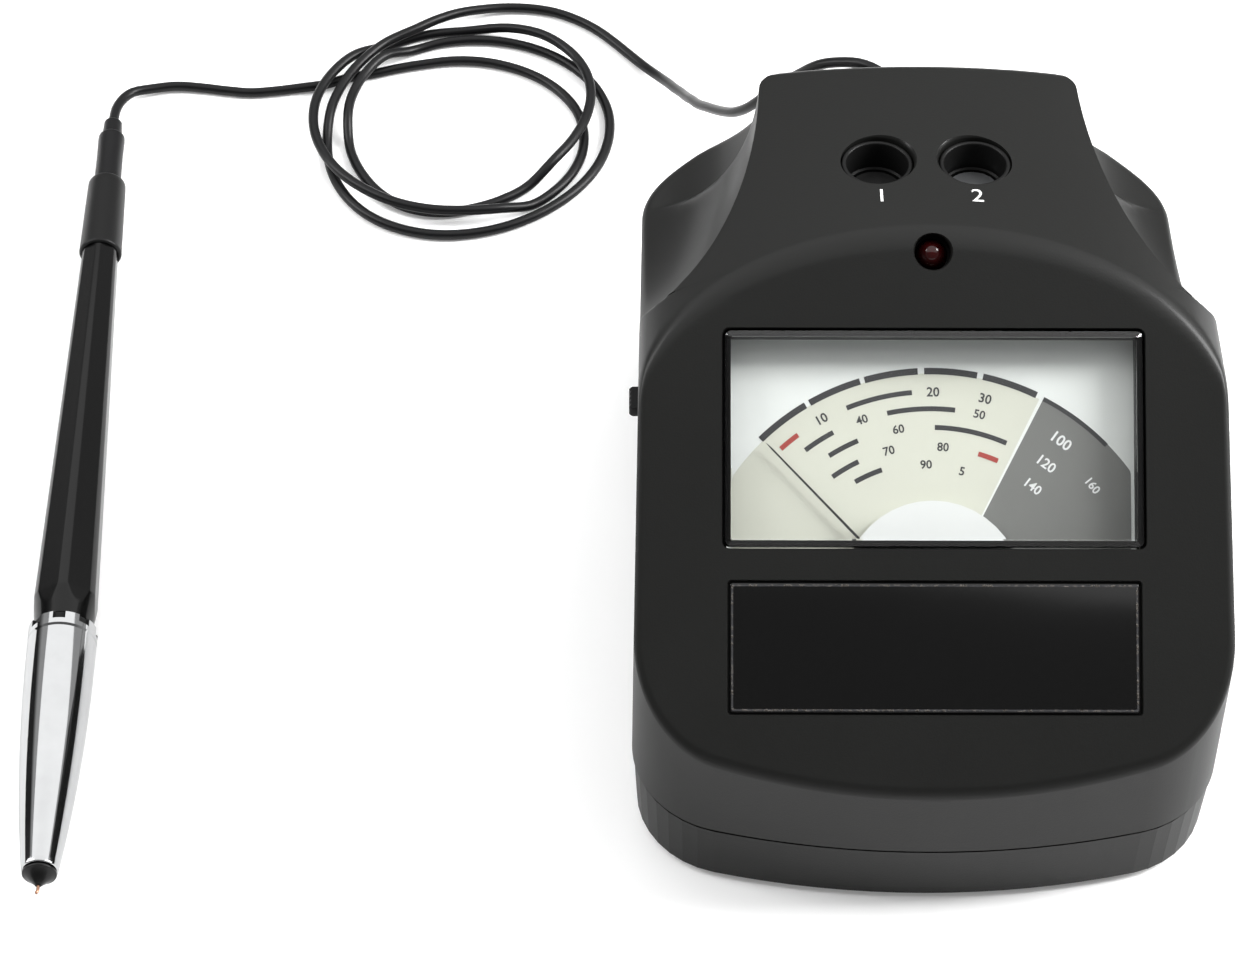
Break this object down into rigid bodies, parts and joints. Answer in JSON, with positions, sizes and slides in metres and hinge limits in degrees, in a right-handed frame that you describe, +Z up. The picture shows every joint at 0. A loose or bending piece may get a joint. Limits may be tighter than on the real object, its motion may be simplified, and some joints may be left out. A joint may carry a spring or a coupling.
{
  "type": "diamond tester",
  "caption": "Desk-top thermal diamond tester: charcoal console with a needle meter, two wells and a pen probe on a thin coiled cord",
  "frame": {"origin": "on the surface it stands on, under the middle of the box round the console and the probe", "axes": "+Z up, +Y from the front of the sloping face to the rear, +X to the right as seen from the front"},
  "size_m": [0.2078, 0.2267, 0.0851],
  "materials": {
    "charcoal_shell": "fine matt moulded",
    "black_plastic": "plain",
    "gloss_black": "polished",
    "clear_cover": "clear, polished",
    "dial_white": "printed",
    "needle_black": "satin",
    "lamp_red": "translucent",
    "bright_steel": "plated",
    "chrome": "polished",
    "brass": "plain",
    "copper": "copper, plain",
    "magnet": "plain",
    "board_green": "lacquered",
    "cell_jacket": "plain",
    "rubber_black": "matt",
    "barrel_black": "glossy",
    "sleeve_black": "satin, shrunk on",
    "ceramic": "ceramic",
    "disc_dark": "polished, dark",
    "disc_grey": "satin"
  },
  "bodies": {
    "console": {"base_tray": "charcoal_shell", "battery": "cell_jacket", "battery_clip": "black_plastic", "board_capacitor": "bright_steel", "case_screw_front_left": "bright_steel", "case_screw_front_right": "bright_steel", "case_screw_rear_left": "bright_steel", "case_screw_rear_right": "bright_steel", "circuit_board": "board_green", "cord_coil": "rubber_black", "cord_gland": "rubber_black", "cord_lead_body": "rubber_black", "cord_lead_probe": "rubber_black", "core_magnet": "magnet", "dial_plate": "dial_white", "foot_front_left": "rubber_black", "foot_front_right": "rubber_black", "foot_rear_left": "rubber_black", "foot_rear_right": "rubber_black", "front_plate": "gloss_black", "heater_regulator": "black_plastic", "heater_tube": "ceramic", "hub_cover": "dial_white", "indicator_lamp": "lamp_red", "lamp_holder": "black_plastic", "meter_case": "black_plastic", "pin_spring": "bright_steel", "pivot_bridge": "brass", "pole_ring": "bright_steel", "probe_barrel": "barrel_black", "probe_boot": "rubber_black", "probe_nose": "chrome", "probe_ring": "chrome", "probe_sleeve": "sleeve_black", "probe_tip": "black_plastic", "reference_disc_left": "disc_dark", "reference_disc_right": "disc_grey", "switch_body": "bright_steel", "upper_housing": "charcoal_shell", "well_cup_left": "black_plastic", "well_cup_right": "black_plastic", "window_lens": "clear_cover"},
    "needle_group": {"needle": "needle_black", "moving_coil": "copper"},
    "switch_slider": {"switch_knob": "black_plastic"},
    "bay_door": {"battery_door": "charcoal_shell"},
    "sprung_pin": {"probe_pin": "copper"}
  },
  "joints": [
    {"name": "needle_swing", "type": "hinge", "parent": "console", "child": "needle_group", "pos_m": [0.05389, -0.0662, 0.0486], "axis": [0, 0.5764, -0.8171], "range_deg": [0, 88], "stiffness_Nm_per_rad": 0.00002},
    {"name": "power_switch_slide", "type": "slide", "parent": "console", "child": "switch_slider", "axis": [0, 1, 0], "range_m": [0, 0.004]},
    {"name": "battery_door_slide", "type": "slide", "parent": "console", "child": "bay_door", "axis": [0, 1, 0], "range_m": [0, 0.05]},
    {"name": "pin_press", "type": "slide", "parent": "console", "child": "sprung_pin", "axis": [-0.0209, 0.9996, -0.0206], "range_m": [0, 0.0008], "stiffness_N_per_m": 400}
  ]
}
